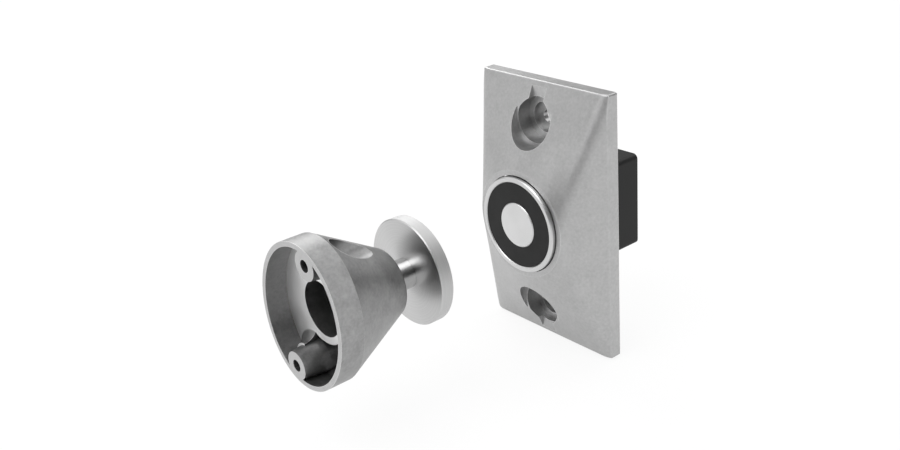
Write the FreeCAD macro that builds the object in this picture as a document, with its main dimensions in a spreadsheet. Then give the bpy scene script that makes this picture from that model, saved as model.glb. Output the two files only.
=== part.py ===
"""Electromagnetic door holder: a wall magnet on a cast cover plate, and the swivelling armature on a door.

Millimetres. The origin is the centre of the cover plate's back face, on the wall. +X is right, +Z is up,
and the magnet faces along -Y. The door unit stands in front of it on the same axis, as in use with the
door a hand's breadth from the magnet.
"""
import FreeCAD, Part
import math
import os
import Sketcher

App = FreeCAD
Vector = App.Vector
doc = App.newDocument("DoorHolder")

SIZES = {
    # cover plate
    "plate_width": 69.85,
    "plate_height": 114.3,
    "rim_thickness": 5.8,
    "land_depth": 21.0,
    "land_radius": 23.2,
    "flank_angle": 15.0,
    "plate_wall": 3.4,
    "inner_rim": 3.6,
    "inner_depth": 18.0,
    "inner_radius": 21.7,
    "magnet_hole_gap": 0.4,
    "crease_round": 8.0,
    "edge_round": 0.8,
    # wall screws, in stepped recesses with a slot
    "screw_pitch": 83.3,
    "recess_radius": 10.6,
    "recess_floor": 10.4,
    "second_radius": 9.3,
    "second_floor": 4.2,
    "seat_radius": 6.4,
    "seat_floor": 2.3,
    "wall_hole_radius": 2.6,
    "tower_wall": 2.2,
    "slot_width": 8.2,
    "slot_floor": 6.7,
    # electromagnet
    "pole_face": 22.8,
    "shell_radius": 20.55,
    "shell_wall": 2.3,
    "shell_floor": 3.0,
    "shell_depth": 17.8,
    "core_radius": 9.66,
    "face_chamfer": 0.4,
    "compound_sink": 0.25,
    "compound_depth": 2.75,
    "bobbin_wall": 1.0,
    "bobbin_gap": 0.1,
    "winding_gap": 0.5,
    # bracket and its screws
    "bracket_thickness": 2.0,
    "bracket_width": 24.0,
    "bracket_end": 3.1,
    "bracket_gap": 0.5,
    "post_radius": 3.2,
    "bracket_screw_radius": 1.5,
    "bracket_head_radius": 2.8,
    "bracket_head_height": 1.8,
    "bracket_screw_length": 9.0,
    "screw_gap": 0.25,
    "thread_gap": 0.02,
    # rear housing
    "housing_width": 39.6,
    "housing_height": 41.0,
    "housing_back": 29.0,
    "housing_wall": 2.0,
    "housing_round": 2.2,
    "lid_thickness": 2.0,
    "pillar_size": 5.4,
    "ledge_step": 1.6,
    "lid_screw_radius": 1.1,
    "lid_head_radius": 2.0,
    "lid_head_height": 1.2,
    "lid_screw_length": 7.0,
    "rib_thickness": 1.6,
    "rib_length": 16.0,
    "rib_gap": 1.0,
    # electrics
    "board_front": 11.5,
    "board_thickness": 1.6,
    "board_gap": 0.3,
    "block_width": 24.8,
    "block_height": 11.0,
    "block_drop": 7.2,
    "block_stand": 0.8,
    "block_gap": 0.3,
    "terminal_pitch": 6.2,
    "terminal_radius": 1.9,
    "terminal_height": 1.6,
    "terminal_sink": 1.2,
    "terminal_rise": 2.4,
    "terminal_shank": 1.1,
    "terminal_length": 7.0,
    "wire_hole_radius": 1.5,
    "wire_hole_depth": 9.0,
    "wire_hole_drop": 2.7,
    "rectifier_side": 9.0,
    "rectifier_depth": 4.5,
    "suppressor_radius": 4.6,
    "suppressor_depth": 3.6,
    "part_margin": 4.5,
    "part_drop": 6.2,
    "lead_radius": 0.8,
    "lead_offset": 13.5,
    "lead_gap": 0.4,
    "lead_stub": 0.6,
    # centre screw
    "core_screw_radius": 3.0,
    "core_screw_length": 15.0,
    "core_head_radius": 5.0,
    "core_head_height": 3.5,
    "core_hex_radius": 2.9,
    "core_hex_depth": 2.4,
    "washer_radius": 5.6,
    "washer_thickness": 1.2,
    # armature disc, measured back from its working face
    "air_gap": 51.9,
    "disc_radius": 21.3,
    "disc_thickness": 5.5,
    "disc_chamfer": 0.4,
    "disc_web": 2.3,
    "disc_play": 0.05,
    "disc_head_radius": 6.0,
    "disc_head_height": 2.6,
    "disc_head_gap": 0.4,
    "disc_screw_radius": 2.5,
    "disc_screw_length": 12.0,
    "hex_radius": 2.3,
    "hex_depth": 1.8,
    # ball stud and its seat in the nose
    "spigot_radius": 4.0,
    "neck_radius": 6.0,
    "ball_radius": 8.5,
    "ball_back": 23.8,
    "ball_gap": 0.1,
    "liner_wall": 1.9,
    "liner_opening": 7.3,
    "liner_rear_opening": 4.0,
    "seat_gap": 0.1,
    "ring_gap": 0.1,
    "seat_start": 4.4,
    "seat_end": 9.0,
    "spring_height": 1.2,
    "spring_metal": 0.5,
    "spring_gap": 0.02,
    "spring_inner": 6.2,
    "clip_thickness": 1.2,
    "clip_inner": 9.0,
    "clip_groove": 0.9,
    # cast cup on the door
    "cup_turn": 70.7,
    "nose_back": 14.8,
    "nose_radius": 12.9,
    "nose_round": 2.5,
    "nose_opening": 7.6,
    "cup_length": 38.4,
    "skirt_depth": 9.6,
    "cup_long": 30.45,
    "cup_short": 25.15,
    "cup_wall": 2.0,
    "cup_floor": 9.2,
    "core_pocket_floor": 17.5,
    "core_pocket_wall": 2.3,
    "core_pocket_edge": 2.5,
    "collar_radius": 13.9,
    "boss_cove": 4.5,
    "bore_radius": 11.0,
    "door_pitch": 48.6,
    "boss_radius": 5.6,
    "door_hole_radius": 2.4,
    "pocket_radius": 5.5,
    "pocket_floor": 10.7,
    "pocket_wall": 1.6,
}

sheet = doc.addObject("Spreadsheet::Sheet", "Sizes")
for row, (name, size) in enumerate(SIZES.items(), start=1):
    sheet.set("A%d" % row, name)
    sheet.set("B%d" % row, str(size))
    sheet.setAlias("B%d" % row, name)
doc.recompute()


def bound(formula):
    """The formula with the sheet's name before each size."""
    words = []
    word = ""
    for letter in formula + " ":
        if letter.isalnum() or letter in "_.":
            word += letter
            continue
        words.append("Sizes." + word if word in SIZES else word)
        words.append(letter)
        word = ""
    return "".join(words).strip()


def bind(item, **formulas):
    for prop, formula in formulas.items():
        item.setExpression(prop, bound(formula))


def place(item, x="0", y="0", z="0"):
    for axis, formula in (("x", x), ("y", y), ("z", z)):
        item.setExpression("Placement.Base." + axis, bound(formula))


# Shapes along Y, from the front (more negative) formula to the back one

ALONG_Y = App.Rotation(Vector(1, 0, 0), -90)


def rod(name, radius, front, back, x="0", z="0"):
    item = doc.addObject("Part::Cylinder", name)
    item.Placement = App.Placement(Vector(), ALONG_Y)
    bind(item, Radius=radius, Height="(%s) - (%s)" % (back, front))
    place(item, x, front, z)
    return item


def cone(name, front_radius, back_radius, front, back, x="0", z="0"):
    item = doc.addObject("Part::Cone", name)
    item.Placement = App.Placement(Vector(), ALONG_Y)
    bind(item, Radius1=front_radius, Radius2=back_radius, Height="(%s) - (%s)" % (back, front))
    place(item, x, front, z)
    return item


def hexagon(name, radius, front, back):
    item = doc.addObject("Part::Prism", name)
    item.Placement = App.Placement(Vector(), ALONG_Y)
    item.Polygon = 6
    bind(item, Circumradius=radius, Height="(%s) - (%s)" % (back, front))
    place(item, "0", front, "0")
    return item


def block(name, width, height, front, back, x="0", z="0"):
    item = doc.addObject("Part::Box", name)
    bind(item, Length=width, Width="(%s) - (%s)" % (back, front), Height=height)
    place(item, "(%s) - (%s) / 2" % (x, width), front, "(%s) - (%s) / 2" % (z, height))
    return item


def ball(name, radius, y):
    item = doc.addObject("Part::Sphere", name)
    bind(item, Radius=radius)
    place(item, "0", y, "0")
    return item


def cut(name, base, *tools):
    item = doc.addObject("Part::Cut", name)
    item.Base = base
    item.Tool = tools[0] if len(tools) == 1 else fuse(name + "_tools", *tools)
    return item


def fuse(name, *pieces):
    item = doc.addObject("Part::MultiFuse", name)
    item.Shapes = list(pieces)
    return item


def common(name, *pieces):
    item = doc.addObject("Part::MultiCommon", name)
    item.Shapes = list(pieces)
    return item


def tube(name, outer, inner, front, back):
    return cut(name, rod(name + "_outer", outer, front, back), rod(name + "_inner", inner, front, back))


def part(name, item):
    """Names a finished piece, whose label is also its file."""
    item.Label = name
    PIECES.append(item)
    return item


PIECES = []

# Sketches seen from the front, each at a depth in front of the wall


def origin_plane(body, role):
    return next(plane for plane in body.Origin.OriginFeatures if plane.Role == role)


def front_sketch(body, name, depth):
    sketch = body.newObject("Sketcher::SketchObject", name)
    sketch.AttachmentSupport = [(origin_plane(body, "XZ_Plane"), "")]
    sketch.MapMode = "FlatFace"
    sketch.setExpression("AttachmentOffset.Base.z", bound(depth))
    return sketch


def constrain(sketch, kind, *args, formula=None):
    index = sketch.addConstraint(Sketcher.Constraint(kind, *args))
    if formula:
        sketch.setExpression("Constraints[%d]" % index, bound(formula))
    return index


def rectangle(body, name, depth, width, height, half_x, half_z):
    """A rectangle about the origin, whose sides start at the lower right corner."""
    sketch = front_sketch(body, name, depth)
    corners = [(half_x, -half_z), (half_x, half_z), (-half_x, half_z), (-half_x, -half_z)]
    for i in range(4):
        start = Vector(*corners[i], 0)
        end = Vector(*corners[(i + 1) % 4], 0)
        sketch.addGeometry(Part.LineSegment(start, end), False)
    for i in range(4):
        constrain(sketch, "Coincident", i, 2, (i + 1) % 4, 1)
    constrain(sketch, "Vertical", 0)
    constrain(sketch, "Vertical", 2)
    constrain(sketch, "Horizontal", 1)
    constrain(sketch, "Horizontal", 3)
    constrain(sketch, "Symmetric", 0, 1, 1, 2, -1, 1)
    constrain(sketch, "DistanceX", 1, 2, 1, 1, 2 * half_x, formula=width)
    constrain(sketch, "DistanceY", 0, 1, 0, 2, 2 * half_z, formula=height)
    return sketch


def split_circle(body, name, depth, radius, size):
    """A circle in four arcs, which join at the flank angle above and below the X axis."""
    sketch = front_sketch(body, name, depth)
    flank = SIZES["flank_angle"]
    turns = [-flank, flank, 180 - flank, 180 + flank, 360 - flank]
    for i in range(4):
        circle = Part.Circle(Vector(), Vector(0, 0, 1), size)
        arc = Part.ArcOfCircle(circle, math.radians(turns[i]), math.radians(turns[i + 1]))
        sketch.addGeometry(arc, False)
        if i < 3:
            constrain(sketch, "Coincident", i, 3, -1, 1)
    constrain(sketch, "PointOnObject", 3, 3, -1)
    for i in range(4):
        constrain(sketch, "Coincident", i, 2, (i + 1) % 4, 1)
    constrain(sketch, "Vertical", 0, 1, 0, 2)
    constrain(sketch, "Vertical", 2, 1, 2, 2)
    constrain(sketch, "Horizontal", 0, 2, 2, 1)
    constrain(sketch, "Radius", 0, size, formula=radius)
    half = size * math.sin(math.radians(flank))
    height = "2 * (%s) * sin(flank_angle * 1 deg)" % radius
    constrain(sketch, "DistanceY", 0, 1, 0, 2, 2 * half, formula=height)
    return sketch


def oval(body, name, depth, long_radius, short_radius, long_size, short_size):
    """An ellipse about the origin with its long axis along X."""
    sketch = front_sketch(body, name, depth)
    ellipse = Part.Ellipse(Vector(long_size, 0, 0), Vector(0, short_size, 0), Vector())
    sketch.addGeometry(ellipse, False)
    sketch.exposeInternalGeometry(0)
    constrain(sketch, "Coincident", 0, 3, -1, 1)
    constrain(sketch, "Horizontal", 1)
    constrain(sketch, "DistanceX", 1, 2, 1, 1, 2 * long_size, formula="2 * (%s)" % long_radius)
    constrain(sketch, "DistanceY", 2, 2, 2, 1, 2 * short_size, formula="2 * (%s)" % short_radius)
    return sketch


def disc_sketch(body, name, depth, radius, size):
    sketch = front_sketch(body, name, depth)
    sketch.addGeometry(Part.Circle(Vector(), Vector(0, 0, 1), size), False)
    constrain(sketch, "Coincident", 0, 3, -1, 1)
    constrain(sketch, "Radius", 0, size, formula=radius)
    return sketch


# Planes across the Y axis

MAGNET_BACK = "-(pole_face - shell_depth)"
COIL_BACK = MAGNET_BACK + " - shell_floor"
COIL_FRONT = "-(pole_face - compound_sink - compound_depth)"
BRACKET_BACK = MAGNET_BACK + " + bracket_thickness"
FLOOR_BACK = BRACKET_BACK + " + housing_wall"
HEAD_SEAT = FLOOR_BACK + " + washer_thickness"
LID_FRONT = "housing_back - lid_thickness"
BOARD_BACK = "board_front + board_thickness"
BLOCK_BACK = "housing_back + block_stand"
DISC_FACE = "-(pole_face + air_gap)"
DISC_BACK = DISC_FACE + " - disc_thickness"
WEB_FACE = DISC_BACK + " + disc_web"
SPIGOT_END = WEB_FACE + " + disc_play"
BALL_CENTRE = DISC_FACE + " - ball_back"
NOSE = DISC_FACE + " - nose_back"
CUP_RIM = NOSE + " - cup_length"

TOWER_EDGE = "(screw_pitch / 2 - recess_radius - tower_wall)"
BRACKET_LENGTH = "(2 * (%s - bracket_gap))" % TOWER_EDGE
POST_PITCH = "(2 * (%s - bracket_gap - bracket_end))" % TOWER_EDGE

LINER_RADIUS = "(ball_radius + ball_gap + liner_wall)"
SEAT_RADIUS = "(ball_radius + ball_gap + liner_wall + seat_gap)"
COIL_SPACE = "(shell_radius - shell_wall)"
SCREW_HOLE = "core_screw_radius + screw_gap"
PIN_HOLE = "lead_radius + lead_gap"


def at_ends(make, pitch):
    """The same shape at plus and minus half a pitch."""
    return [make(1, "(%s) / 2" % pitch), make(2, "-(%s) / 2" % pitch)]


def in_corners(make, x, z):
    """The same shape in four corners."""
    signs = [("", ""), ("-", ""), ("-", "-"), ("", "-")]
    return [make(i, "%s(%s)" % (sx, x), "%s(%s)" % (sz, z)) for i, (sx, sz) in enumerate(signs, start=1)]


def rounded(name, base, radius, chosen, kind="Part::Fillet"):
    """Rounds the edges that pass a test."""
    doc.recompute()
    item = doc.addObject(kind, name)
    item.Base = base
    edges = base.Shape.Edges
    item.Edges = [(i, radius, radius) for i, edge in enumerate(edges, start=1) if chosen(edge)]
    return item


def runs_along_y(edge):
    if len(edge.Vertexes) != 2:
        return False
    a, b = (vertex.Point for vertex in edge.Vertexes)
    return abs(a.x - b.x) < 1e-6 and abs(a.z - b.z) < 1e-6


def flat_at(y):
    def chosen(edge):
        box = edge.BoundBox
        return abs(box.YMin - y) < 0.3 and abs(box.YMax - y) < 0.3
    return chosen


def spans(front, back):
    """Edges that lie in front of the wall and reach from one depth to another, such as a crease."""
    def chosen(edge):
        box = edge.BoundBox
        return abs(box.YMin - front) < 0.3 and abs(box.YMax - back) < 0.3
    return chosen


def circle_at(y, radius):
    def chosen(edge):
        box = edge.BoundBox
        flat = abs(box.YMin - y) < 0.01 and abs(box.YMax - y) < 0.01
        return flat and abs(box.XMax - radius) < 0.02 and abs(box.ZMax - radius) < 0.02
    return chosen


# Wall unit


def plate_form(name, width, height, rim, radius, depth, sizes):
    """A slab whose faces run in four ruled flanks to a circle in front of it."""
    half_x, half_z, radius_size = sizes
    body = doc.addObject("PartDesign::Body", name)
    foot = rectangle(body, name + "_foot", "0", width, height, half_x, half_z)
    slab = body.newObject("PartDesign::Pad", name + "_slab")
    slab.Profile = foot
    bind(slab, Length=rim)
    doc.recompute()
    shoulder = rectangle(body, name + "_shoulder", rim, width, height, half_x, half_z)
    land = split_circle(body, name + "_land", depth, radius, radius_size)
    flanks = body.newObject("PartDesign::AdditiveLoft", name + "_flanks")
    flanks.Profile = shoulder
    flanks.Sections = [land]
    flanks.Ruled = True
    doc.recompute()
    return body


def face_plate():
    wide = SIZES["plate_width"] / 2
    tall = SIZES["plate_height"] / 2
    wall = SIZES["plate_wall"]
    outside = plate_form("plate_outside", "plate_width", "plate_height", "rim_thickness",
                         "land_radius", "land_depth", (wide, tall, SIZES["land_radius"]))
    inside = plate_form("plate_inside", "plate_width - 2 * plate_wall", "plate_height - 2 * plate_wall",
                        "inner_rim", "inner_radius", "inner_depth",
                        (wide - wall, tall - wall, SIZES["inner_radius"]))
    front = -SIZES["rim_thickness"]
    crease = spans(-SIZES["land_depth"], front)
    at_rim = flat_at(front)
    outside = rounded("plate_creases", outside, SIZES["crease_round"], crease)
    outside = rounded("plate_edges", outside, SIZES["edge_round"], lambda e: at_rim(e) or runs_along_y(e))
    shell = cut("plate_shell", outside, inside)

    def tower(i, z):
        return rod("tower_%d" % i, "recess_radius + tower_wall", "-land_depth", "0", z=z)

    def post(i, z):
        return rod("post_%d" % i, "post_radius", "-land_depth", MAGNET_BACK, z=z)

    def web(i, z):
        middle = "(%s) * (screw_pitch + %s) / (2 * %s)" % (z, POST_PITCH, POST_PITCH)
        length = "(screw_pitch - %s) / 2" % POST_PITCH
        return block("web_%d" % i, "2 * post_radius", length, "-land_depth", MAGNET_BACK, z=middle)

    inner = at_ends(tower, "screw_pitch") + at_ends(post, POST_PITCH) + at_ends(web, POST_PITCH)
    supports = common("plate_supports", outside, fuse("plate_columns", *inner))
    solid = fuse("plate_solid", shell, supports)

    tools = [rod("magnet_hole", "shell_radius + magnet_hole_gap", "-land_depth - 1", MAGNET_BACK)]
    steps = [("recess", "recess_radius", "recess_floor"), ("second", "second_radius", "second_floor"),
             ("seat", "seat_radius", "seat_floor")]
    for word, radius, floor in steps:
        def step(i, z):
            return rod("%s_%d" % (word, i), radius, "-land_depth - 1", "-" + floor, z=z)
        tools += at_ends(step, "screw_pitch")

    def hole(i, z):
        return rod("wall_hole_%d" % i, "wall_hole_radius", "-land_depth", "1", z=z)

    def slot(i, z):
        middle = "(%s) * (screw_pitch + plate_height) / (2 * screw_pitch)" % z
        length = "(plate_height - screw_pitch) / 2"
        return block("slot_%d" % i, "slot_width", length, "-land_depth", "-slot_floor", z=middle)

    def tapping(i, z):
        end = MAGNET_BACK + " - bracket_screw_length + bracket_thickness - 1"
        return rod("tapping_%d" % i, "bracket_screw_radius + thread_gap", end, "0", z=z)

    tools += at_ends(hole, "screw_pitch") + at_ends(slot, "screw_pitch") + at_ends(tapping, POST_PITCH)
    return part("face_plate", cut("plate_cut", solid, *tools))


def magnet():
    blank = rod("shell_blank", "shell_radius", "-pole_face", MAGNET_BACK)
    space = rod("shell_space", COIL_SPACE, "-pole_face", COIL_BACK)
    screw_way = rod("shell_screw_way", SCREW_HOLE, COIL_BACK, MAGNET_BACK)
    pins = coil_pin_ways("shell", PIN_HOLE, COIL_BACK, MAGNET_BACK)
    shell = cut("shell_cut", blank, space, screw_way, *pins)
    front = -SIZES["pole_face"]
    outer = circle_at(front, SIZES["shell_radius"])
    inner = circle_at(front, SIZES["shell_radius"] - SIZES["shell_wall"])
    shell = rounded("shell_edges", shell, SIZES["face_chamfer"], lambda e: outer(e) or inner(e), "Part::Chamfer")
    part("magnet_shell", shell)

    core = rod("core_blank", "core_radius", "-pole_face", COIL_BACK)
    depth = "(%s) - core_screw_length - 1.2" % HEAD_SEAT
    tapping = rod("core_tapping", "core_screw_radius + thread_gap", depth, COIL_BACK)
    core = cut("core_cut", core, tapping)
    face = circle_at(front, SIZES["core_radius"])
    part("pole_core", rounded("core_edge", core, SIZES["face_chamfer"], face, "Part::Chamfer"))

    compound = tube("compound", COIL_SPACE, "core_radius", "-(pole_face - compound_sink)", COIL_FRONT)
    part("potting_ring", compound)


def coil_pin_ways(name, radius, front, back):
    def way(i, x):
        return rod("%s_pin_way_%d" % (name, i), radius, front, back, x=x)
    return at_ends(way, "2 * lead_offset")


def coil():
    hub_radius = "core_radius + bobbin_gap + bobbin_wall"
    flange_radius = COIL_SPACE + " - bobbin_gap"
    hub = rod("bobbin_hub", hub_radius, COIL_FRONT, COIL_BACK)
    front = rod("bobbin_front", flange_radius, COIL_FRONT, COIL_FRONT + " + bobbin_wall")
    back = rod("bobbin_back", flange_radius, COIL_BACK + " - bobbin_wall", COIL_BACK)
    bore = rod("bobbin_bore", "core_radius + bobbin_gap", COIL_FRONT, COIL_BACK)
    pins = coil_pin_ways("bobbin", "lead_radius", COIL_BACK + " - bobbin_wall", COIL_BACK)
    part("coil_bobbin", cut("bobbin_cut", fuse("bobbin_blank", hub, front, back), bore, *pins))

    winding = tube("winding", flange_radius + " - winding_gap", hub_radius,
                   COIL_FRONT + " + bobbin_wall", COIL_BACK + " - bobbin_wall")
    part("coil_winding", winding)

    def pin(i, x):
        return rod("pin_%d" % i, "lead_radius", COIL_BACK + " - bobbin_wall", BOARD_BACK + " + lead_stub", x=x)
    part("coil_pins", fuse("pins", *at_ends(pin, "2 * lead_offset")))


def bracket():
    strip = block("strip", "bracket_width", BRACKET_LENGTH, MAGNET_BACK, BRACKET_BACK)
    ends = rod("strip_ends", BRACKET_LENGTH + " / 2", MAGNET_BACK, BRACKET_BACK)
    middle = rod("strip_middle", SCREW_HOLE, MAGNET_BACK, BRACKET_BACK)

    def way(i, z):
        return rod("strip_way_%d" % i, "bracket_screw_radius + screw_gap", MAGNET_BACK, BRACKET_BACK, z=z)
    blank = common("strip_blank", strip, ends)
    part("mounting_bracket", cut("strip_cut", blank, middle, *at_ends(way, POST_PITCH)))

    def screw(i, z):
        head_end = BRACKET_BACK + " + bracket_head_height"
        head = rod("bracket_head_%d" % i, "bracket_head_radius", BRACKET_BACK, head_end, z=z)
        shank_end = BRACKET_BACK + " - bracket_screw_length"
        shank = rod("bracket_shank_%d" % i, "bracket_screw_radius", shank_end, BRACKET_BACK, z=z)
        slot = block("bracket_slot_%d" % i, "bracket_head_radius * 3", "bracket_head_radius / 3",
                     head_end + " - bracket_head_height / 2", head_end, z=z)
        return cut("bracket_screw_%d" % i, fuse("bracket_screw_blank_%d" % i, head, shank), slot)
    part("bracket_screws", fuse("bracket_screw_pair", *at_ends(screw, POST_PITCH)))


def core_fastening():
    washer = tube("washer", "washer_radius", SCREW_HOLE, FLOOR_BACK, HEAD_SEAT)
    part("core_washer", washer)
    head_end = HEAD_SEAT + " + core_head_height"
    head = rod("core_head", "core_head_radius", HEAD_SEAT, head_end)
    shank = rod("core_shank", "core_screw_radius", HEAD_SEAT + " - core_screw_length", HEAD_SEAT)
    socket = hexagon("core_socket", "core_hex_radius", head_end + " - core_hex_depth", head_end)
    part("core_screw", cut("core_screw_cut", fuse("core_screw_blank", head, shank), socket))


PILLAR_X = "housing_width / 2 - housing_wall - pillar_size / 2"
PILLAR_Z = "housing_height / 2 - housing_wall - pillar_size / 2"


def housing():
    box = block("housing_box", "housing_width", "housing_height", BRACKET_BACK, LID_FRONT)
    box = rounded("housing_rounds", box, SIZES["housing_round"], runs_along_y)
    room = block("housing_room", "housing_width - 2 * housing_wall", "housing_height - 2 * housing_wall",
                 FLOOR_BACK, LID_FRONT)
    shell = cut("housing_shell", box, room)

    def pillar(i, x, z):
        return block("pillar_%d" % i, "pillar_size", "pillar_size", FLOOR_BACK, LID_FRONT, x, z)

    def ledge(i, x, z):
        side = "pillar_size + ledge_step"
        return block("ledge_%d" % i, side, side, FLOOR_BACK, "board_front", x, z)

    pillars = in_corners(pillar, PILLAR_X, PILLAR_Z)
    ledges = in_corners(ledge, PILLAR_X + " - ledge_step / 2", PILLAR_Z + " - ledge_step / 2")
    solid = fuse("housing_solid", shell, *pillars, *ledges)

    def tapping(i, x, z):
        end = "housing_back - lid_screw_length - 1"
        return rod("lid_tapping_%d" % i, "lid_screw_radius + thread_gap", end, LID_FRONT, x, z)

    middle = rod("housing_screw_way", SCREW_HOLE, BRACKET_BACK, FLOOR_BACK)
    pins = coil_pin_ways("housing", PIN_HOLE, BRACKET_BACK, FLOOR_BACK)
    part("rear_housing", cut("housing_cut", solid, middle, *pins, *in_corners(tapping, PILLAR_X, PILLAR_Z)))


def lid():
    sheet_blank = block("lid_sheet", "housing_width", "housing_height", LID_FRONT, "housing_back")
    sheet_blank = rounded("lid_rounds", sheet_blank, SIZES["housing_round"], runs_along_y)

    def rib(i, x):
        return block("lid_rib_%d" % i, "rib_thickness", "rib_length", BOARD_BACK, LID_FRONT, x=x)

    window = block("lid_window", "block_width + 2 * block_gap", "block_height + 2 * block_gap",
                   LID_FRONT, "housing_back", z="-block_drop")

    def way(i, x, z):
        return rod("lid_way_%d" % i, "lid_screw_radius + screw_gap", LID_FRONT, "housing_back", x, z)

    rib_pitch = "(housing_width - 2 * (housing_wall + rib_gap) - rib_thickness)"
    solid = fuse("lid_solid", sheet_blank, *at_ends(rib, rib_pitch))
    part("housing_lid", cut("lid_cut", solid, window, *in_corners(way, PILLAR_X, PILLAR_Z)))

    def screw(i, x, z):
        head_end = "housing_back + lid_head_height"
        head = rod("lid_head_%d" % i, "lid_head_radius", "housing_back", head_end, x, z)
        shank = rod("lid_shank_%d" % i, "lid_screw_radius", "housing_back - lid_screw_length",
                    "housing_back", x, z)
        slot = block("lid_slot_%d" % i, "lid_head_radius * 3", "lid_head_radius / 3",
                     head_end + " - lid_head_height / 2", head_end, x, z)
        return cut("lid_screw_%d" % i, fuse("lid_screw_blank_%d" % i, head, shank), slot)
    part("lid_screws", fuse("lid_screw_set", *in_corners(screw, PILLAR_X, PILLAR_Z)))


def electrics():
    sheet_blank = block("board_sheet", "housing_width - 2 * housing_wall - 2 * board_gap",
                        "housing_height - 2 * housing_wall - 2 * board_gap", "board_front", BOARD_BACK)

    def notch(i, x, z):
        side = "pillar_size + 2 * board_gap"
        return block("board_notch_%d" % i, side, side, "board_front", BOARD_BACK, x, z)

    notches = in_corners(notch, PILLAR_X, PILLAR_Z)
    pins = coil_pin_ways("board", "lead_radius", "board_front", BOARD_BACK)
    part("circuit_board", cut("board_cut", sheet_blank, *notches, *pins))

    edge = "housing_wall - board_gap - part_margin"
    left = "-(housing_width / 2 - %s - rectifier_side / 2)" % edge
    right = "housing_width / 2 - %s - suppressor_radius" % edge
    rise = "housing_height / 2 - housing_wall - board_gap - part_drop - rectifier_side / 2"
    rectifier = block("rectifier", "rectifier_side", "rectifier_side", BOARD_BACK,
                      BOARD_BACK + " + rectifier_depth", left, rise)
    part("bridge_rectifier", rectifier)
    suppressor = rod("suppressor", "suppressor_radius", BOARD_BACK, BOARD_BACK + " + suppressor_depth",
                     right, rise)
    part("surge_suppressor", suppressor)


def terminals():
    blank = block("terminal_blank", "block_width", "block_height", BOARD_BACK, BLOCK_BACK, z="-block_drop")
    seat = BLOCK_BACK + " - terminal_sink - terminal_height"
    tools = []
    screws = []
    for i in range(4):
        x = "%s * terminal_pitch" % (i - 1.5)
        z = "-block_drop + terminal_rise"
        wire_z = "-block_drop - wire_hole_drop"
        shank_end = seat + " - terminal_length"
        tools.append(rod("terminal_recess_%d" % i, "terminal_radius + screw_gap", seat, BLOCK_BACK, x, z))
        tools.append(rod("terminal_way_%d" % i, "terminal_shank", shank_end, seat, x, z))
        tools.append(rod("wire_way_%d" % i, "wire_hole_radius", BLOCK_BACK + " - wire_hole_depth",
                         BLOCK_BACK, x, wire_z))
        head_end = seat + " + terminal_height"
        head = rod("terminal_head_%d" % i, "terminal_radius", seat, head_end, x, z)
        shank = rod("terminal_shank_%d" % i, "terminal_shank", shank_end, seat, x, z)
        slot = block("terminal_slot_%d" % i, "terminal_radius * 3", "terminal_radius / 3",
                     head_end + " - terminal_height / 2", head_end, x, z)
        screws.append(cut("terminal_screw_%d" % i, fuse("terminal_screw_blank_%d" % i, head, shank), slot))
    part("terminal_block", cut("terminal_block_cut", blank, *tools))
    part("terminal_screws", fuse("terminal_screw_set", *screws))


# Door unit


def armature_disc():
    blank = rod("disc_blank", "disc_radius", DISC_BACK, DISC_FACE)
    doc.recompute()
    face_y = blank.Shape.BoundBox.YMax
    back_y = blank.Shape.BoundBox.YMin
    edge_radius = SIZES["disc_radius"]
    at_face = circle_at(face_y, edge_radius)
    at_back = circle_at(back_y, edge_radius)
    blank = rounded("disc_edges", blank, SIZES["disc_chamfer"], lambda e: at_face(e) or at_back(e),
                    "Part::Chamfer")
    recess = rod("disc_recess", "disc_head_radius + disc_head_gap", WEB_FACE, DISC_FACE)
    hole = rod("disc_hole", "spigot_radius + disc_play", DISC_BACK, WEB_FACE)
    part("armature_disc", cut("disc_cut", blank, recess, hole))

    head_end = SPIGOT_END + " + disc_head_height"
    head = rod("disc_head", "disc_head_radius", SPIGOT_END, head_end)
    shank = rod("disc_shank", "disc_screw_radius", SPIGOT_END + " - disc_screw_length", SPIGOT_END)
    socket = hexagon("disc_socket", "hex_radius", head_end + " - hex_depth", head_end)
    part("disc_screw", cut("disc_screw_cut", fuse("disc_screw_blank", head, shank), socket))


def ball_stud():
    head = ball("stud_ball", "ball_radius", BALL_CENTRE)
    neck = rod("stud_neck", "neck_radius", BALL_CENTRE, DISC_BACK + " - disc_play")
    spigot = rod("stud_spigot", "spigot_radius", DISC_BACK + " - 1", SPIGOT_END)
    end = SPIGOT_END + " - disc_screw_length - 1"
    tapping = rod("stud_tapping", "disc_screw_radius + thread_gap", end, SPIGOT_END)
    part("ball_stud", cut("stud_cut", fuse("stud_blank", head, neck, spigot), tapping))


def liner():
    far = BALL_CENTRE + " + 2 * ball_radius"
    near = BALL_CENTRE + " - 2 * ball_radius"
    wide = "2 * ball_radius"
    whole = cut("liner_shell", ball("liner_outer", LINER_RADIUS, BALL_CENTRE),
                ball("liner_inner", "ball_radius + ball_gap", BALL_CENTRE))
    front_half = common("liner_front_half", whole, rod("liner_front_side", wide, BALL_CENTRE, far))
    opening = rod("liner_mouth", "liner_opening", BALL_CENTRE, far)
    part("liner_front", cut("liner_front_cut", front_half, opening))
    rear_half = common("liner_rear_half", whole, rod("liner_rear_side", wide, near, BALL_CENTRE))
    opening = rod("liner_rear_mouth", "liner_rear_opening", near, BALL_CENTRE)
    part("liner_rear", cut("liner_rear_cut", rear_half, opening))


SEAT_END = BALL_CENTRE + " - seat_end"
SPRING_END = SEAT_END + " - spring_height"
CLIP_END = SPRING_END + " - clip_thickness"


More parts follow.
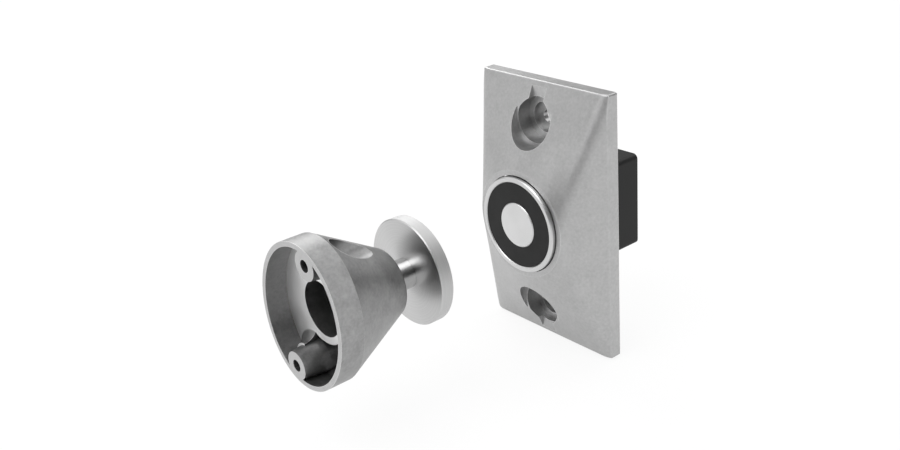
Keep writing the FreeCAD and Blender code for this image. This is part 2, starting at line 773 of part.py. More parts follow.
def wave_spring():
    """A flat ring pressed into waves, whose crests bear on the seat ring and on the retaining ring."""
    waves = 3
    steps = 8 * waves
    outer = SIZES["bore_radius"] - SIZES["ring_gap"]
    inner = SIZES["spring_inner"]
    half = SIZES["spring_metal"] / 2
    sway = SIZES["spring_height"] / 2 - half - SIZES["spring_gap"]
    sections = []
    for i in range(steps):
        turn = 2 * math.pi * i / steps
        across = Vector(math.cos(turn), 0, math.sin(turn))
        middle = Vector(0, sway * math.cos(waves * turn), 0)
        thick = Vector(0, half, 0)
        corners = [middle + across * inner - thick, middle + across * outer - thick,
                   middle + across * outer + thick, middle + across * inner + thick]
        sections.append(Part.makePolygon(corners + corners[:1]))
    item = doc.addObject("Part::Feature", "spring_form")
    item.Shape = Part.makeLoft(sections, True, False, True)
    place(item, y=SPRING_END + " + spring_height / 2")
    part("wave_spring", item)


def seat_and_spring():
    ring = rod("seat_blank", "bore_radius - ring_gap", SEAT_END, BALL_CENTRE + " - seat_start")
    part("seat_ring", cut("seat_cut", ring, ball("seat_hollow", SEAT_RADIUS, BALL_CENTRE)))
    wave_spring()
    clip = tube("clip", "bore_radius + clip_groove", "clip_inner", CLIP_END, SPRING_END)
    gap = block("clip_gap", "clip_inner", "2 * bore_radius", CLIP_END, SPRING_END, z="-bore_radius")
    part("retaining_ring", cut("clip_cut", clip, gap))


def oval_pad(name, long_radius, short_radius, length, long_size, short_size):
    """An oval block from the cup's rim towards its nose."""
    body = doc.addObject("PartDesign::Body", name)
    sketch = oval(body, name + "_outline", "-(%s)" % CUP_RIM, long_radius, short_radius, long_size, short_size)
    pad = body.newObject("PartDesign::Pad", name + "_pad")
    pad.Profile = sketch
    pad.Reversed = True
    bind(pad, Length=length)
    doc.recompute()
    return body


def cup_form():
    """A straight oval skirt, then a cone to the round nose."""
    long_size = SIZES["cup_long"]
    short_size = SIZES["cup_short"]
    body = oval_pad("cup_outside", "cup_long", "cup_short", "skirt_depth", long_size, short_size)
    shoulder = oval(body, "cup_shoulder", "-(%s) - skirt_depth" % CUP_RIM, "cup_long", "cup_short",
                    long_size, short_size)
    nose = disc_sketch(body, "cup_nose", "-(%s)" % NOSE, "nose_radius", SIZES["nose_radius"])
    taper = body.newObject("PartDesign::AdditiveLoft", "cup_taper")
    taper.Profile = shoulder
    taper.Sections = [nose]
    taper.Ruled = True
    doc.recompute()
    return body


def core_pocket():
    """The deeper hollow beside the collar, drawn in like the cone round it."""
    wall = SIZES["cup_wall"]
    long_size = SIZES["cup_long"] - wall
    short_size = SIZES["cup_short"] - wall
    cove_size = SIZES["boss_cove"]
    body = doc.addObject("PartDesign::Body", "cup_core")
    shallow = oval(body, "core_top", "-(%s) - cup_floor + boss_cove" % CUP_RIM, "cup_long - cup_wall",
                   "cup_short - cup_wall", long_size, short_size)
    pad = body.newObject("PartDesign::Pad", "core_top_pad")
    pad.Profile = shallow
    pad.Reversed = True
    bind(pad, Length="boss_cove")
    doc.recompute()
    mouth = oval(body, "core_mouth", "-(%s) - cup_floor" % CUP_RIM, "cup_long - cup_wall",
                 "cup_short - cup_wall", long_size, short_size)
    share = "(core_pocket_floor - skirt_depth) / (cup_length - skirt_depth)"
    long_end = "cup_long - (cup_long - nose_radius) * %s - core_pocket_wall" % share
    short_end = "cup_short - (cup_short - nose_radius) * %s - core_pocket_wall" % share
    end = oval(body, "core_end", "-(%s) - core_pocket_floor" % CUP_RIM, long_end, short_end,
               long_size - cove_size, short_size - cove_size)
    taper = body.newObject("PartDesign::AdditiveLoft", "core_taper")
    taper.Profile = mouth
    taper.Sections = [end]
    taper.Ruled = True
    doc.recompute()
    return body


def boss_column(name, x, foot, deep):
    """A boss that widens to its foot and then keeps a wall round the screw's pocket."""
    top = cone(name + "_top", "boss_radius", "pocket_radius + pocket_wall", CUP_RIM, foot, x=x)
    stem = rod(name + "_stem", "pocket_radius + pocket_wall", foot, deep, x=x)
    return fuse(name, top, stem)


def boss_cove(name, x, floor):
    """A rounded inside corner between a boss and the cup's floor."""
    foot = "(pocket_radius + pocket_wall + boss_cove)"
    ring = rod(name + "_ring", foot, floor + " - boss_cove", floor, x=x)
    hollow = doc.addObject("Part::Torus", name + "_hollow")
    hollow.Placement = App.Placement(Vector(), ALONG_Y)
    bind(hollow, Radius1=foot, Radius2="boss_cove")
    place(hollow, x, floor + " - boss_cove", "0")
    return cut(name, ring, hollow)


def armature_base():
    outside = cup_form()
    wall = SIZES["cup_wall"]
    inside = oval_pad("cup_inside", "cup_long - cup_wall", "cup_short - cup_wall", "cup_floor",
                      SIZES["cup_long"] - wall, SIZES["cup_short"] - wall)
    nose_y = outside.Shape.BoundBox.YMax
    smooth = rounded("cup_rounds", outside, SIZES["nose_round"], circle_at(nose_y, SIZES["nose_radius"]))
    floor = CUP_RIM + " + cup_floor"
    foot = CUP_RIM + " + pocket_floor"
    deep = CUP_RIM + " + core_pocket_floor"

    def column(i, x):
        return boss_column("boss_%d" % i, x, foot, deep)

    def kept_column(i, x):
        return boss_column("core_boss_%d" % i, x, foot, deep)

    def cove(i, x):
        return boss_cove("boss_cove_%d" % i, x, floor)

    def hole(i, x):
        return rod("door_hole_%d" % i, "door_hole_radius", CUP_RIM, DISC_FACE, x=x)

    def pocket(i, x):
        return rod("door_pocket_%d" % i, "pocket_radius", foot, DISC_FACE, x=x)

    added = fuse("cup_bosses", *at_ends(column, "door_pitch"), *at_ends(cove, "door_pitch"))
    kept = common("cup_bosses_kept", smooth, added)
    cast = fuse("cup_cast", cut("cup_shell", smooth, inside), kept)
    side = block("core_side", "3 * cup_long", "3 * cup_short", CUP_RIM, deep, z="core_pocket_edge + 1.5 * cup_short")
    collar = rod("cup_collar", "collar_radius", CUP_RIM, deep)
    core = cut("cup_core_pocket", core_pocket(), side, collar, *at_ends(kept_column, "door_pitch"))
    tools = [core, rod("cup_bore", "bore_radius", CUP_RIM, BALL_CENTRE)]
    tools.append(ball("cup_seat", SEAT_RADIUS, BALL_CENTRE))
    tools.append(rod("cup_mouth", "nose_opening", BALL_CENTRE, DISC_FACE))
    tools.append(rod("clip_groove", "bore_radius + clip_groove", CLIP_END, SPRING_END))
    tools += at_ends(hole, "door_pitch") + at_ends(pocket, "door_pitch")
    base = cut("cup_cut", cast, *tools)
    base.Placement = App.Placement(Vector(), App.Rotation(Vector(0, -1, 0), SIZES["cup_turn"]))
    base.setExpression("Placement.Rotation.Angle", bound("cup_turn * 1 deg"))
    part("armature_base", base)


def check():
    for item in doc.Objects:
        if "Invalid" in item.State or "Error" in item.State:
            raise RuntimeError("%s failed: %s" % (item.Name, item.State))
    for item in PIECES:
        if item.Shape.isNull() or not item.Shape.isValid():
            raise RuntimeError("%s has no valid shape" % item.Label)


def write():
    os.makedirs("parts", exist_ok=True)
    for item in PIECES:
        item.Shape.exportStep("parts/%s.step" % item.Label)
        print("%-20s %9.1f mm3  %d solids" % (item.Label, item.Shape.Volume, len(item.Shape.Solids)))


face_plate()
magnet()
coil()
bracket()
core_fastening()
housing()
lid()
electrics()
terminals()
armature_disc()
ball_stud()
liner()
seat_and_spring()
armature_base()
doc.recompute()
check()
write()
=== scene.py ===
# %% [markdown]
# # An electromagnetic door holder
# A hold-open magnet sits on the wall behind a cast cover plate, and a steel armature on a ball joint is
# screwed to the door. The solids come measured and finished from CAD, so this lesson is about what CAD
# cannot give them: cast, turned and plated metal, potting compound, moulded plastic, and a light that shows
# them all.

# %% Load the solids
import math

import bpy
from mathutils import Matrix, Vector


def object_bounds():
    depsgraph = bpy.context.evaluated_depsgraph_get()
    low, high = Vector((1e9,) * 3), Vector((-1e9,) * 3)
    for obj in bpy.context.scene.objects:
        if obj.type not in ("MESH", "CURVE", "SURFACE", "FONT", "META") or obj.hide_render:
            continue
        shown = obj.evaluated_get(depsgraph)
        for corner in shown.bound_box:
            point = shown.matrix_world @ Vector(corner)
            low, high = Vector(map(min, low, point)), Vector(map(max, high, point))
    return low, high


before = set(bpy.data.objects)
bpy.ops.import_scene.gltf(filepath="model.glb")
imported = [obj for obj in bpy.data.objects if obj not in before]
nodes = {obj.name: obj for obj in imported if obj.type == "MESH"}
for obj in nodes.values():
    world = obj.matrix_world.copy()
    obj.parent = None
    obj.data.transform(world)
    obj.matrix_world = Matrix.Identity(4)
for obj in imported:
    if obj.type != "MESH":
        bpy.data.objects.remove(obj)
cad_box = [list(corner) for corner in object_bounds()]
bpy.ops.object.select_all(action="DESELECT")

# %% [markdown]
# ## The camera
# A photograph fixes a camera completely: the direction it looks from, a slight roll, its distance and its
# lens. These came from fitting the plate's known corners to the picture. A camera could simply track a
# target, but a roll is hard to add to that, so its three axes are written out as a matrix. The angles count
# from the front, where -Y is.

# %% Camera
PICTURE_PX = (900, 450)
# The place in the picture where the frame's origin is seen.
ORIGIN_PX = (556.09, 208.557)
FOCAL_PX = 1043.809
DISTANCE = 0.440896
AZIMUTH = math.radians(51.884)
ELEVATION = math.radians(23.620)
ROLL = math.radians(-4.725)
SENSOR_MM = 36
NEAREST_SEEN = 0.01


def direction(azimuth, elevation):
    """The way to a place that is so far round from the front and so far up."""
    flat = math.cos(elevation)
    return Vector((math.sin(azimuth) * flat, -math.cos(azimuth) * flat, math.sin(elevation)))


back = direction(AZIMUTH, ELEVATION)
across = Vector((math.cos(AZIMUTH), math.sin(AZIMUTH), 0))
upright = back.cross(across)
right = math.cos(ROLL) * across + math.sin(ROLL) * upright
up = -math.sin(ROLL) * across + math.cos(ROLL) * upright

metres_per_px = DISTANCE / FOCAL_PX
origin_right = (ORIGIN_PX[0] - PICTURE_PX[0] / 2) * metres_per_px
origin_down = (ORIGIN_PX[1] - PICTURE_PX[1] / 2) * metres_per_px
eye = back * DISTANCE - right * origin_right + up * origin_down

bpy.ops.object.camera_add()
camera = bpy.context.object
camera.name = "photo_camera"
camera.matrix_world = Matrix.Translation(eye) @ Matrix((right, up, back)).transposed().to_4x4()
camera.data.lens = FOCAL_PX / PICTURE_PX[0] * SENSOR_MM
camera.data.clip_start = NEAREST_SEEN
bpy.context.scene.camera = camera
bpy.context.scene.view_settings.view_transform = "Standard"
print("camera at", [round(v, 4) for v in eye], "lens", round(camera.data.lens, 1), "mm")

# %% [markdown]
# ## Nodes in one line each
# Materials are built from nodes, and in a script each node takes several lines: make it, set it, link it.
# One helper does all three, and a second one calculates. What goes into them may be a number or another
# node's output.

# %% Node helpers


def add_node(tree, kind, inputs=None, **settings):
    """Adds a node, sets its properties, and sets or links its inputs."""
    node = tree.nodes.new(kind)
    for name, value in settings.items():
        setattr(node, name, value)
    for name, value in (inputs or {}).items():
        if isinstance(value, bpy.types.NodeSocket):
            tree.links.new(value, node.inputs[name])
        else:
            node.inputs[name].default_value = value
    return node


def calculate(tree, operation, *values):
    """The result of a Math node."""
    return add_node(tree, "ShaderNodeMath", dict(enumerate(values)), operation=operation).outputs[0]


print("helpers for nodes:", add_node.__name__, calculate.__name__)

# %% [markdown]
# ## Groups that materials share
# Grain, worn edges and lathe lines come back on many finishes. Copying their nodes into each material would
# work, but a shader node group is built once and placed with other values each time. All its inputs and
# outputs are numbers.

# %% Group helpers


def new_group(name, inputs, outputs):
    """An empty shader node group with named inputs and outputs, and its two end nodes."""
    tree = bpy.data.node_groups.new(name, "ShaderNodeTree")
    for label, value in inputs.items():
        socket = tree.interface.new_socket(name=label, in_out="INPUT", socket_type="NodeSocketFloat")
        socket.default_value = value
    for label in outputs:
        tree.interface.new_socket(name=label, in_out="OUTPUT", socket_type="NodeSocketFloat")
    return tree, tree.nodes.new("NodeGroupInput"), tree.nodes.new("NodeGroupOutput")


def put_out(tree, sink, **results):
    """Links results to the group outputs of the same names."""
    for label, result in results.items():
        tree.links.new(result, sink.inputs[label])


print("helpers for groups:", new_group.__name__, put_out.__name__)

# %% [markdown]
# ## Cast grain
# A die casting is never quite even: a fine grain catches the light, and broad clouds make it a little paler
# here and darker there. A picture of metal could be wrapped round the part, but noise in the object's own
# space has no seams. The group gives a tone that multiplies the colour, a roughness and a height for the
# bump.

# %% Cast grain group
CLOUD_SCALE = 150.0
CLOUD_DETAIL = 4.0
GRAIN_DETAIL = 2.0
# How much of the tone's swing the roughness takes on. With more, the metal looks like cement.
ROUGHNESS_SHARE = 0.3


def swing(tree, noise, amount):
    """A noise that lies round a half, made to lie round zero and multiplied by the amount."""
    return calculate(tree, "MULTIPLY", calculate(tree, "SUBTRACT", noise, 0.5), amount)


def make_cast_grain():
    """Grain and clouds as tone, roughness and height."""
    tree, source, sink = new_group(
        "Cast grain", {"Grain size": 900.0, "Grain": 0.12, "Clouds": 0.06, "Roughness": 0.42},
        ["Tone", "Roughness", "Height"])
    place = add_node(tree, "ShaderNodeTexCoord").outputs["Object"]
    grain = add_node(tree, "ShaderNodeTexNoise", {
        "Vector": place, "Scale": source.outputs["Grain size"], "Detail": GRAIN_DETAIL, "Roughness": 0.5})
    clouds = add_node(tree, "ShaderNodeTexNoise", {
        "Vector": place, "Scale": CLOUD_SCALE, "Detail": CLOUD_DETAIL, "Roughness": 0.65})
    fine = swing(tree, grain.outputs["Fac"], source.outputs["Grain"])
    broad = swing(tree, clouds.outputs["Fac"], source.outputs["Clouds"])
    both = calculate(tree, "ADD", fine, broad)
    tone = calculate(tree, "ADD", both, 1.0)
    rough = calculate(tree, "MULTIPLY_ADD", both, ROUGHNESS_SHARE, source.outputs["Roughness"])
    put_out(tree, sink, Tone=tone, Roughness=rough, Height=grain.outputs["Fac"])
    return tree


cast_grain = make_cast_grain()
print("cast grain", len(cast_grain.nodes), "nodes")

# %% [markdown]
# ## Worn edges with a painted highlight
# Tumbling and handling polish a casting most where it sticks out, so its outer edges are paler than its
# faces. The same pale colour also paints the highlight that a rounded edge catches from the lamps, so it is
# partly wear and partly painted highlight. They could be painted by hand, but the Bevel node finds them: it
# gives the normal that a rounded edge would have, and where that leaves the real normal there is an edge.
# Inside corners would pass this test too, so Ambient Occlusion takes them out again.

# %% Worn and highlit edges group
EDGE_SAMPLES = 6
EDGE_CLEARANCE = 0.002


def ramp(tree, value, start, end, low=0.0, high=1.0):
    """Runs from low to high while the value goes from start to end, and stays level beyond them."""
    inputs = {"Value": value, "From Min": start, "From Max": end, "To Min": low, "To Max": high}
    return add_node(tree, "ShaderNodeMapRange", inputs, clamp=True).outputs[0]


def make_highlit_worn_edges():
    """A mask of the edges that stick out, for wear and a painted highlight."""
    tree, source, sink = new_group("Highlit worn edges", {"Width": 0.0004, "Amount": 0.5}, ["Mask"])
    rounded = add_node(tree, "ShaderNodeBevel", {"Radius": source.outputs["Width"]}, samples=EDGE_SAMPLES)
    real = add_node(tree, "ShaderNodeNewGeometry")
    agree = add_node(tree, "ShaderNodeVectorMath", {0: rounded.outputs[0], 1: real.outputs["Normal"]},
                     operation="DOT_PRODUCT")
    edge = ramp(tree, agree.outputs["Value"], start=1.0, end=0.9)
    open_air = add_node(tree, "ShaderNodeAmbientOcclusion", {"Distance": EDGE_CLEARANCE},
                        samples=EDGE_SAMPLES)
    outer = ramp(tree, open_air.outputs["AO"], start=0.7, end=0.95)
    mask = calculate(tree, "MULTIPLY", edge, outer)
    put_out(tree, sink, Mask=calculate(tree, "MULTIPLY", mask, source.outputs["Amount"]))
    return tree


highlit_worn_edges = make_highlit_worn_edges()
print("highlit worn edges", len(highlit_worn_edges.nodes), "nodes")

# %% [markdown]
# ## Cavity painted shade
# Deep recesses lie in shade, and this group paints that shade into the colour. Ambient Occlusion says how
# closed in a point is, and the more it is, the darker the tone.

# %% Cavity painted shade group
SHADE_SAMPLES = 8


def make_cavity_painted_shade():
    """A tone of painted shade, darker in recesses."""
    tree, source, sink = new_group("Cavity painted shade", {"Reach": 0.02, "Amount": 0.5}, ["Tone"])
    open_air = add_node(tree, "ShaderNodeAmbientOcclusion", {"Distance": source.outputs["Reach"]},
                        samples=SHADE_SAMPLES)
    closed = ramp(tree, open_air.outputs["AO"], start=0.2, end=0.85, low=1.0, high=0.0)
    loss = calculate(tree, "MULTIPLY", closed, source.outputs["Amount"])
    put_out(tree, sink, Tone=calculate(tree, "SUBTRACT", 1.0, loss))
    return tree


cavity_painted_shade = make_cavity_painted_shade()
print("cavity painted shade", len(cavity_painted_shade.nodes), "nodes")

# %% [markdown]
# ## Painted light on front faces
# The surfaces that look along -Y, the cup's rim, its screw bosses and its floor, are painted pale as painted
# light, the light that falls on them from the front. They could get a material slot of their own, but the CAD
# mesh is left as it is, so a mask picks them by the normal in the object's own space. What lies deeper than
# the rim has an amount of its own.

# %% Front light paint group
RIM_DEPTH = 0.0039
cup_mouth = cad_box[0][1]


def mix_numbers(tree, share, first, second):
    """The first number where the share is 0 and the second where it is 1."""
    return add_node(tree, "ShaderNodeMix", {0: share, 2: first, 3: second}).outputs[0]


def make_front_light_paint():
    """A mask of the surfaces that look along -Y, where painted light goes."""
    tree, source, sink = new_group(
        "Front light paint", {"Amount": 0.5, "Inside amount": 0.5, "Inside from": cup_mouth + RIM_DEPTH}, ["Mask"])
    place = add_node(tree, "ShaderNodeTexCoord")
    normal = add_node(tree, "ShaderNodeSeparateXYZ", {0: place.outputs["Normal"]})
    spot = add_node(tree, "ShaderNodeSeparateXYZ", {0: place.outputs["Object"]})
    inside = calculate(tree, "GREATER_THAN", spot.outputs["Y"], source.outputs["Inside from"])
    amount = mix_numbers(tree, inside, source.outputs["Amount"], source.outputs["Inside amount"])
    facing = ramp(tree, normal.outputs["Y"], start=-0.97, end=-0.995)
    put_out(tree, sink, Mask=calculate(tree, "MULTIPLY", facing, amount))
    return tree


front_light_paint = make_front_light_paint()
print("front light paint", len(front_light_paint.nodes), "nodes, rim at", round(cup_mouth, 4))

# %% [markdown]
# ## Turned lines
# The armature disc, the pot and the pole are turned on a lathe, which leaves fine rings round the axis.
# Rings could be modelled, but they are far too fine, so a noise is drawn out into lines. The axis is Y. On
# an end face the lines follow the distance from the axis, which is the length of X and Z alone, and on the
# side they follow Y. Their sum serves for both, and the normal says which of the two a surface is.

# %% Turned lines group
LINE_DETAIL = 3.0


def make_turned_lines():
    """Rings round Y as tone and height, with a roughness for the faces and one for the side."""
    tree, source, sink = new_group(
        "Turned lines",
        {"Line spacing": 0.0004, "Unevenness": 0.5, "Face roughness": 0.3, "Side roughness": 0.3},
        ["Tone", "Height", "Roughness"])
    place = add_node(tree, "ShaderNodeTexCoord")
    spot = add_node(tree, "ShaderNodeSeparateXYZ", {0: place.outputs["Object"]})
    flat = add_node(tree, "ShaderNodeVectorMath", {0: place.outputs["Object"], 1: (1, 0, 1)},
                    operation="MULTIPLY")
    radius = add_node(tree, "ShaderNodeVectorMath", {0: flat.outputs[0]}, operation="LENGTH")
    along = calculate(tree, "ADD", radius.outputs["Value"], spot.outputs["Y"])
    turns = calculate(tree, "DIVIDE", along, source.outputs["Line spacing"])
    lines = add_node(tree, "ShaderNodeTexNoise", {"W": turns, "Scale": 1.0, "Detail": LINE_DETAIL},
                     noise_dimensions="1D")
    normal = add_node(tree, "ShaderNodeSeparateXYZ", {0: place.outputs["Normal"]})
    end_on = calculate(tree, "ABSOLUTE", normal.outputs["Y"])
    uneven = swing(tree, lines.outputs["Fac"], source.outputs["Unevenness"])
    tone = calculate(tree, "ADD", uneven, 1.0)
    rough = mix_numbers(tree, end_on, source.outputs["Side roughness"], source.outputs["Face roughness"])
    put_out(tree, sink, Tone=tone, Height=lines.outputs["Fac"], Roughness=rough)
    return tree


turned_lines = make_turned_lines()
print("turned lines", len(turned_lines.nodes), "nodes")

# %% [markdown]
# ## A finish and who wears it
# Every finish starts from a Principled BSDF, which covers metal and plastic alike. One helper makes it and
# sets the values that stay the same all over the surface, and another gives it to the CAD nodes by their
# names. The groups then change the colour and the normal from place to place.

# %% Finish helpers


def new_finish(name, color, roughness, metallic=0.0, **sockets):
    """A material with one Principled BSDF, returned with its tree and shader."""
    finish = bpy.data.materials.new(name)
    finish.use_nodes = True
    tree = finish.node_tree
    shader = tree.nodes["Principled BSDF"]
    shader.inputs["Base Color"].default_value = (*color, 1)
    shader.inputs["Roughness"].default_value = roughness
    shader.inputs["Metallic"].default_value = metallic
    for socket, value in sockets.items():
        shader.inputs[socket.replace("_", " ")].default_value = value
    return finish, tree, shader


def wear(finish, *names):
    """Gives the finish to CAD nodes."""
    for name in names:
        piece = nodes[name]
        if not piece.material_slots:
            piece.data.materials.append(finish)
        for slot in piece.material_slots:
            slot.material = finish
    print(finish.name, "on", *names)


def tinted(tree, color, tone):
    """The colour multiplied by a changing tone."""
    return add_node(tree, "ShaderNodeVectorMath", {0: color, 1: tone}, operation="MULTIPLY").outputs[0]


def add_bump(tree, shader, height, strength, distance):
    """Tilts the normal by a height that changes over the surface."""
    bump = add_node(tree, "ShaderNodeBump", {"Height": height, "Strength": strength, "Distance": distance})
    tree.links.new(bump.outputs[0], shader.inputs["Normal"])


def grey(value):
    """A colour with no hue."""
    return value, value, value


print("helpers for finishes:", new_finish.__name__, wear.__name__, tinted.__name__, add_bump.__name__)

# %% [markdown]
# ## How a casting is finished
# The grain's tone multiplies the base colour, painted shade darkens the recesses, pale metal is painted as
# light on the faces that look along -Y, and pale metal on the outer edges stands for both wear and a
# painted highlight, in that order. A weak bump from the same grain breaks up the highlights, which is what
# tells the eye that a surface is cast and not machined. Moulded plastic has the same kind of skin, so it
# uses the same function.

# %% Cast finish
# Pale metal: painted light on -Y faces, and wear with a painted highlight on edges.
BARE_AND_LIT_METAL = (*grey(0.80), 1)
GRAIN_HEIGHT = 0.0001


def paled(tree, shade, group, amounts):
    """The colour with pale metal painted in where the group's mask is."""
    mask = add_node(tree, "ShaderNodeGroup", amounts, node_tree=group).outputs["Mask"]
    return add_node(tree, "ShaderNodeMix", {0: mask, 6: shade, 7: BARE_AND_LIT_METAL}, data_type="RGBA").outputs[2]


def cast_finish(name, color, roughness, grain, clouds, bump=0.05, metallic=0.0, grain_size=900.0, edges=0.0,
                painted_shade=0.0, front_light=None, **sockets):
    """Cast grain, with painted shade in recesses, painted light on -Y faces and worn, highlit edges where
    asked.
    """
    finish, tree, shader = new_finish(name, color, roughness, metallic, **sockets)
    skin = add_node(tree, "ShaderNodeGroup",
                    {"Grain size": grain_size, "Grain": grain, "Clouds": clouds, "Roughness": roughness},
                    node_tree=cast_grain)
    shade = tinted(tree, color, skin.outputs["Tone"])
    # Painted shade: darker in recesses.
    if painted_shade:
        shaded = add_node(tree, "ShaderNodeGroup", {"Amount": painted_shade}, node_tree=cavity_painted_shade)
        shade = tinted(tree, shade, shaded.outputs["Tone"])
    # Painted light: paler on the faces that look along -Y.
    if front_light:
        shade = paled(tree, shade, front_light_paint, {"Amount": front_light[0], "Inside amount": front_light[1]})
    # Pale edges: partly wear, partly painted highlight.
    if edges:
        shade = paled(tree, shade, highlit_worn_edges, {"Amount": edges})
    tree.links.new(shade, shader.inputs["Base Color"])
    tree.links.new(skin.outputs["Roughness"], shader.inputs["Roughness"])
    add_bump(tree, shader, skin.outputs["Height"], bump, GRAIN_HEIGHT)
    return finish


print("cast finish, pale metal for wear and painted light", BARE_AND_LIT_METAL)

# %% [markdown]
# ## Plate and cup
# The cover plate and the door cup are zinc castings with a satin finish. The plate is tumbled smooth and
# pale. The cup is left rougher and darker, with broad stains. Its rim, bosses and floor are painted paler as
# painted light, wholly on the floor inside and partly on the rim, and its recesses get more painted shade
# than the plate's.

# %% Plate and cup
satin_casting = cast_finish("satin casting", grey(0.46), roughness=0.40, grain=0.32, clouds=0.24, bump=0.20,
                            metallic=0.95, edges=0.9, painted_shade=0.08)
cup_casting = cast_finish("cup casting", grey(0.32), roughness=0.44, grain=0.40, clouds=0.80, bump=0.20,
                          metallic=0.95, edges=0.6, painted_shade=0.45, front_light=(0.35, 1.0))
wear(satin_casting, "face_plate")
wear(cup_casting, "armature_base")

# %% [markdown]
# ## Black plastic and potting compound
# The box behind the plate is moulded, with a fine, even skin. The ring round the pole is resin that was
# poured in and set, so its grain is coarser and cloudy. Both are nearly black. Their specular level is low,
# because a black with the usual level shines grey under large lamps.

# %% Black plastic and potting compound
DULL_BLACK = 0.25
black_plastic = cast_finish("black housing plastic", grey(0.010), roughness=0.50, grain=0.25, clouds=0.10,
                            bump=0.25, grain_size=1600.0, Specular_IOR_Level=DULL_BLACK)
compound = cast_finish("potting compound", grey(0.012), roughness=0.55, grain=0.30, clouds=2.50, bump=0.20,
                       grain_size=500.0, Specular_IOR_Level=DULL_BLACK)
wear(black_plastic, "rear_housing", "housing_lid", "bridge_rectifier")
wear(compound, "potting_ring")

# %% [markdown]
# ## Nylon, board and components
# The coil is wound on natural nylon, and the ball sits in a liner of black nylon. The board, its terminal
# block and its lacquered surge suppressor have the colours that such parts nearly always have. They hardly
# show from outside, so a plain colour with a little grain is enough.

# %% Nylon, board and components
nylon = cast_finish("moulded nylon", (0.72, 0.71, 0.67), roughness=0.45, grain=0.05, clouds=0.04)
black_nylon = cast_finish("black nylon", grey(0.012), roughness=0.40, grain=0.05, clouds=0.04)
board_green = cast_finish("circuit board", (0.04, 0.17, 0.07), roughness=0.35, grain=0.15, clouds=0.10)
terminal_green = cast_finish("terminal plastic", (0.05, 0.26, 0.10), roughness=0.40, grain=0.06, clouds=0.04)
lacquer_blue = cast_finish("component lacquer", (0.04, 0.10, 0.36), roughness=0.30, grain=0.08, clouds=0.06)
wear(nylon, "coil_bobbin")
wear(black_nylon, "liner_front", "liner_rear")
wear(board_green, "circuit_board")
wear(terminal_green, "terminal_block")
wear(lacquer_blue, "surge_suppressor")

# %% [markdown]
# ## How turned metal is finished
# Turned metal is bright along lines that run out from the axis, because each ring reflects the lamp at one
# point. Anisotropy does this without modelling a single ring, once the Tangent node says that the rings run
# round Y. The roughness is linked only where the side differs from the faces, because elsewhere one number
# says it all.

# %% Turned finish
LINE_HEIGHT = 0.00005


def turned_finish(name, color, roughness, anisotropy, unevenness, bump, spacing=0.0003, side_roughness=None):
    """A metal with lathe rings round Y, and with a side of its own roughness where one is asked for."""
    finish, tree, shader = new_finish(name, color, roughness, 1.0, Anisotropic=anisotropy)
    lines = add_node(tree, "ShaderNodeGroup", {"Line spacing": spacing, "Unevenness": unevenness},
                     node_tree=turned_lines)
    if side_roughness:
        lines.inputs["Face roughness"].default_value = roughness
        lines.inputs["Side roughness"].default_value = side_roughness
        tree.links.new(lines.outputs["Roughness"], shader.inputs["Roughness"])
    tree.links.new(tinted(tree, color, lines.outputs["Tone"]), shader.inputs["Base Color"])
    add_bump(tree, shader, lines.outputs["Height"], bump, LINE_HEIGHT)
    rings = add_node(tree, "ShaderNodeTangent", direction_type="RADIAL", axis="Y")
    tree.links.new(rings.outputs[0], shader.inputs["Tangent"])
    return finish


print("turned finish, rings", LINE_HEIGHT, "high")

# %% [markdown]
# ## Disc, pot, pole and neck
# All four are steel from the lathe. The armature's disc has the plainest rings, and its rim is duller than
# its faces. The pot's rim and the pole's end were ground together after potting, so their rings are
# fainter. The neck and its ball are polished, because the ball has to slide in its liner.

# %% Disc, pot, pole and neck
disc_steel = turned_finish("turned disc", grey(0.56), roughness=0.28, anisotropy=0.8, unevenness=0.35,
                           bump=0.05, side_roughness=0.42)
pot_steel = turned_finish("turned pot", grey(0.62), roughness=0.34, anisotropy=0.5, unevenness=0.15,
                          bump=0.10)
pole_steel = turned_finish("ground pole", grey(0.68), roughness=0.42, anisotropy=0.3, unevenness=0.10,
                           bump=0.05)
stud_steel = turned_finish("turned stud", grey(0.58), roughness=0.18, anisotropy=0.4, unevenness=0.20,
                           bump=0.04)
wear(disc_steel, "armature_disc")
wear(pot_steel, "magnet_shell")
wear(pole_steel, "pole_core")
wear(stud_steel, "ball_stud")

# %% [markdown]
# ## Fixings and coil
# Screws, washer and bracket are zinc plated, the spring parts are dark, the terminals are brass, and the
# coil is enamelled copper. Its turns are rings round the same axis, only coarser, so the turned finish
# draws them. All these are mostly hidden, but each is still a real finish, because the part can be opened.

# %% Fixings and coil
zinc_plate = cast_finish("zinc plate", (0.62, 0.62, 0.60), roughness=0.32, grain=0.10, clouds=0.08,
                         metallic=0.9)
spring_steel = cast_finish("spring steel", grey(0.05), roughness=0.40, grain=0.10, clouds=0.08, metallic=0.9)
brass = cast_finish("plain brass", (0.70, 0.52, 0.24), roughness=0.30, grain=0.10, clouds=0.06, metallic=0.95)
copper_wire = turned_finish("copper winding", (0.72, 0.32, 0.16), roughness=0.30, anisotropy=0.6,
                            unevenness=0.6, bump=0.8, spacing=0.0008)
wear(zinc_plate, "mounting_bracket", "bracket_screws", "core_washer", "core_screw", "lid_screws",
     "disc_screw")
wear(spring_steel, "wave_spring", "retaining_ring", "seat_ring")
wear(brass, "terminal_screws", "coil_pins")
wear(copper_wire, "coil_winding")

# %% [markdown]
# ## Floor
# The floor is plain and nearly white. More light would make it white, but it would burn out the metal too.
# So part of what the camera sees of it is plain emission, like the paper of a catalogue, while the rest
# keeps the part's soft shadow. Reflections see a share of the same white, and Light Path tells the two
# kinds of ray apart.

# %% Floor
FLOOR_SIZE = 8
FLOOR_GAP = 0.001
WHITE_IN_VIEW = 0.88
WHITE_IN_GLOSS = 0.68

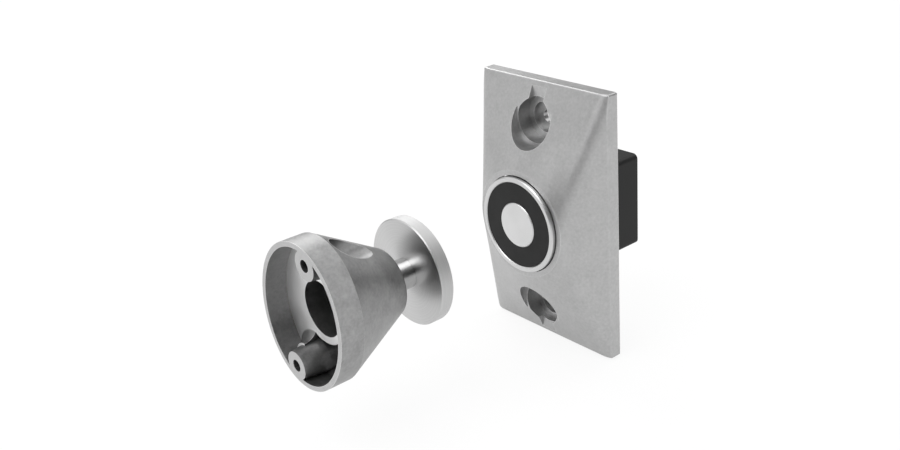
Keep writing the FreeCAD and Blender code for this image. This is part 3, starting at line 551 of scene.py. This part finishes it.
floor_height = cad_box[0][2] - FLOOR_GAP
bpy.ops.mesh.primitive_plane_add(size=FLOOR_SIZE, location=(0, 0, floor_height))
floor = bpy.context.object
floor.name = "floor"
floor_finish, floor_tree, floor_shader = new_finish("pale floor", grey(0.9), 0.9)
paper = add_node(floor_tree, "ShaderNodeEmission", {"Color": (1, 1, 1, 1), "Strength": 1.0})
path = add_node(floor_tree, "ShaderNodeLightPath")
in_view = calculate(floor_tree, "MULTIPLY", path.outputs["Is Camera Ray"], WHITE_IN_VIEW)
in_gloss = calculate(floor_tree, "MULTIPLY", path.outputs["Is Glossy Ray"], WHITE_IN_GLOSS)
paper_share = calculate(floor_tree, "MAXIMUM", in_view, in_gloss)
blend = add_node(floor_tree, "ShaderNodeMixShader",
                 {0: paper_share, 1: floor_shader.outputs[0], 2: paper.outputs[0]})
floor_tree.links.new(blend.outputs[0], floor_tree.nodes["Material Output"].inputs["Surface"])
floor.data.materials.append(floor_finish)
print("floor at", round(floor_height, 4))

# %% [markdown]
# ## Sky
# Metal shows what stands round it, so the world matters as much as the lamps. An evenly white sky would
# make it flat. Here the sky is dark below and glows softly overhead and behind the part on the left, and
# only the camera sees it as plain white.

# %% Sky
TOP_LEVEL = 1.1
BACK_LEVEL = 0.3
BACK_AXIS = (-0.72, 0.57, 0.40)
LOBE_START = 0.5

world = bpy.data.worlds.new("soft studio")
bpy.context.scene.world = world
world.use_nodes = True
sky_tree = world.node_tree
sky = sky_tree.nodes["Background"]
sky.inputs["Color"].default_value = (1, 1, 1, 1)
way = add_node(sky_tree, "ShaderNodeTexCoord").outputs["Generated"]


def sky_lobe(axis, level):
    """Light that grows from nothing to a level towards one side of the sky."""
    toward = add_node(sky_tree, "ShaderNodeVectorMath", {0: way, 1: axis}, operation="DOT_PRODUCT")
    return ramp(sky_tree, toward.outputs["Value"], start=LOBE_START, end=1.0, high=level)


glow = calculate(sky_tree, "ADD", sky_lobe((0, 0, 1), TOP_LEVEL), sky_lobe(BACK_AXIS, BACK_LEVEL))
ray = add_node(sky_tree, "ShaderNodeLightPath")
sky_tree.links.new(mix_numbers(sky_tree, ray.outputs["Is Camera Ray"], glow, 1.0), sky.inputs["Strength"])
print("sky level", TOP_LEVEL, "overhead and", BACK_LEVEL, "behind")

# %% [markdown]
# ## Lamps
# Square lamps as wide as a window give soft shadows and broad highlights. They stand in a ring round the
# part, so that its sides and back are lit as well, and the strongest ones are high in front and at the two
# sides, where the photograph has its light.

# %% Lamps
LAMP_DISTANCE = 1.5
LAMP_SIZE = 1.0
part_middle = Vector((0, -0.05, 0))


def soft_lamp(name, azimuth, elevation, power):
    """A square lamp that faces the part, placed in degrees round from the front and up."""
    offset = direction(math.radians(azimuth), math.radians(elevation)) * LAMP_DISTANCE
    bpy.ops.object.light_add(type="AREA", location=part_middle + offset)
    lamp = bpy.context.object
    lamp.name = name
    lamp.rotation_euler = offset.to_track_quat("Z", "Y").to_euler()
    lamp.data.size = LAMP_SIZE
    lamp.data.energy = power
    print(name, power, "W")


soft_lamp("high lamp", 0, 55, 8.8)
soft_lamp("front lamp", -15, 15, 3.4)
soft_lamp("low left lamp", -60, 20, 3.2)
soft_lamp("right lamp", 95, 25, 8.6)
soft_lamp("left lamp", -110, 35, 8.0)
soft_lamp("rear lamp", 180, 40, 4.5)

# %% [markdown]
# ## Finish
# The box that CAD gave the part is printed.

# %% Sizes
print("cad box", cad_box)
